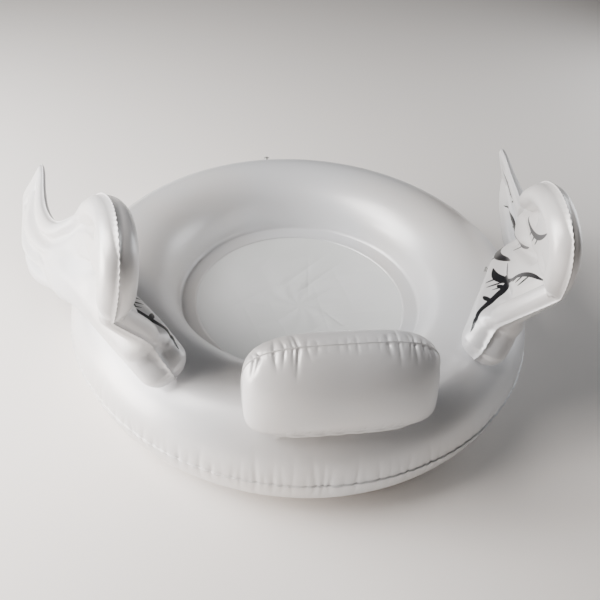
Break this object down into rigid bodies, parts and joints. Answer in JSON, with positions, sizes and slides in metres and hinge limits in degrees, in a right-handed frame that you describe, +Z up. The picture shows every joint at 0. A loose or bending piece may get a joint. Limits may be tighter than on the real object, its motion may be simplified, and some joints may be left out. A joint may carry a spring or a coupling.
{
  "type": "inflatable swim ring lounge",
  "caption": "Inflatable round lounge ring with a clear sheet floor, a backrest cushion and two upright wings, each chamber with its own push-in valve.",
  "frame": {"origin": "centre of the ring's base, on the plane it rests on", "axes": "+Z up; the sitter faces +Y with the backrest at -Y; +X is the sitter's right"},
  "size_m": [1.8584, 1.504, 0.8436],
  "materials": {
    "pearl_pvc": "pearly semi-gloss film",
    "printed_pvc": null,
    "clear_pvc": "clear gloss film",
    "valve_pvc": "soft translucent moulded vinyl"
  },
  "bodies": {
    "ring_body": {"ring_top_sheet": "pearl_pvc", "ring_bottom_sheet": "pearl_pvc", "floor_sheet": "clear_pvc", "backrest_weld_strip": "pearl_pvc", "left_wing_weld_strip": "pearl_pvc", "right_wing_weld_strip": "pearl_pvc", "ring_valve_base": "valve_pvc"},
    "backrest_body": {"backrest_rear_sheet": "pearl_pvc", "backrest_front_sheet": "pearl_pvc", "backrest_valve_base": "valve_pvc"},
    "left_wing_body": {"left_wing_inner_sheet": "printed_pvc", "left_wing_outer_sheet": "pearl_pvc", "left_wing_valve_base": "valve_pvc"},
    "right_wing_body": {"right_wing_inner_sheet": "printed_pvc", "right_wing_outer_sheet": "pearl_pvc", "right_wing_valve_base": "valve_pvc"},
    "ring_stem_body": {"ring_valve_stem": "valve_pvc", "ring_valve_flap": "valve_pvc"},
    "ring_plug_body": {"ring_valve_plug": "valve_pvc"},
    "backrest_stem_body": {"backrest_valve_stem": "valve_pvc", "backrest_valve_flap": "valve_pvc"},
    "backrest_plug_body": {"backrest_valve_plug": "valve_pvc"},
    "left_wing_stem_body": {"left_wing_valve_stem": "valve_pvc", "left_wing_valve_flap": "valve_pvc"},
    "left_wing_plug_body": {"left_wing_valve_plug": "valve_pvc"},
    "right_wing_stem_body": {"right_wing_valve_stem": "valve_pvc", "right_wing_valve_flap": "valve_pvc"},
    "right_wing_plug_body": {"right_wing_valve_plug": "valve_pvc"}
  },
  "joints": [
    {"name": "backrest_recline", "type": "hinge", "parent": "ring_body", "child": "backrest_body", "pos_m": [0, -0.67497, 0.31739], "axis": [1, 0, 0], "range_deg": [0, 20], "stiffness_Nm_per_rad": 4},
    {"name": "left_wing_sway", "type": "hinge", "parent": "ring_body", "child": "left_wing_body", "pos_m": [-0.43698, -0.45696, 0.34084], "axis": [0.5818, -0.8133, 0.0079], "range_deg": [-10, 12], "stiffness_Nm_per_rad": 14, "springref_deg": -1.15},
    {"name": "right_wing_sway", "type": "hinge", "parent": "ring_body", "child": "right_wing_body", "pos_m": [0.43698, -0.45696, 0.34084], "axis": [0.5818, 0.8133, -0.0079], "range_deg": [-10, 12], "stiffness_Nm_per_rad": 14, "springref_deg": -1.15},
    {"name": "ring_valve_push", "type": "slide", "parent": "ring_body", "child": "ring_stem_body", "axis": [0.0498, -0.7595, -0.6486], "range_m": [0, 0.013]},
    {"name": "ring_valve_open", "type": "hinge", "parent": "ring_stem_body", "child": "ring_plug_body", "pos_m": [-0.03453, 0.71795, 0.2955], "axis": [-0.0424, 0.6472, -0.7611], "range_deg": [0, 110]},
    {"name": "backrest_valve_push", "type": "slide", "parent": "backrest_body", "child": "backrest_stem_body", "axis": [-0.1487, -0.9086, 0.3902], "range_m": [0, 0.013]},
    {"name": "backrest_valve_open", "type": "hinge", "parent": "backrest_stem_body", "child": "backrest_plug_body", "pos_m": [0.16236, -0.55116, 0.39461], "axis": [-0.063, -0.3851, -0.9207], "range_deg": [0, 110]},
    {"name": "left_wing_valve_push", "type": "slide", "parent": "left_wing_body", "child": "left_wing_stem_body", "axis": [-0.7994, -0.6008, 0.0027], "range_m": [0, 0.013]},
    {"name": "left_wing_valve_open", "type": "hinge", "parent": "left_wing_stem_body", "child": "left_wing_plug_body", "pos_m": [-0.5447, -0.17227, 0.38789], "axis": [-0.0022, -0.0016, -1], "range_deg": [0, 110]},
    {"name": "right_wing_valve_push", "type": "slide", "parent": "right_wing_body", "child": "right_wing_stem_body", "axis": [0.7994, -0.6008, 0.0027], "range_m": [0, 0.013]},
    {"name": "right_wing_valve_open", "type": "hinge", "parent": "right_wing_stem_body", "child": "right_wing_plug_body", "pos_m": [0.55972, -0.15229, 0.38789], "axis": [0.0022, -0.0016, -1], "range_deg": [0, 110]}
  ]
}
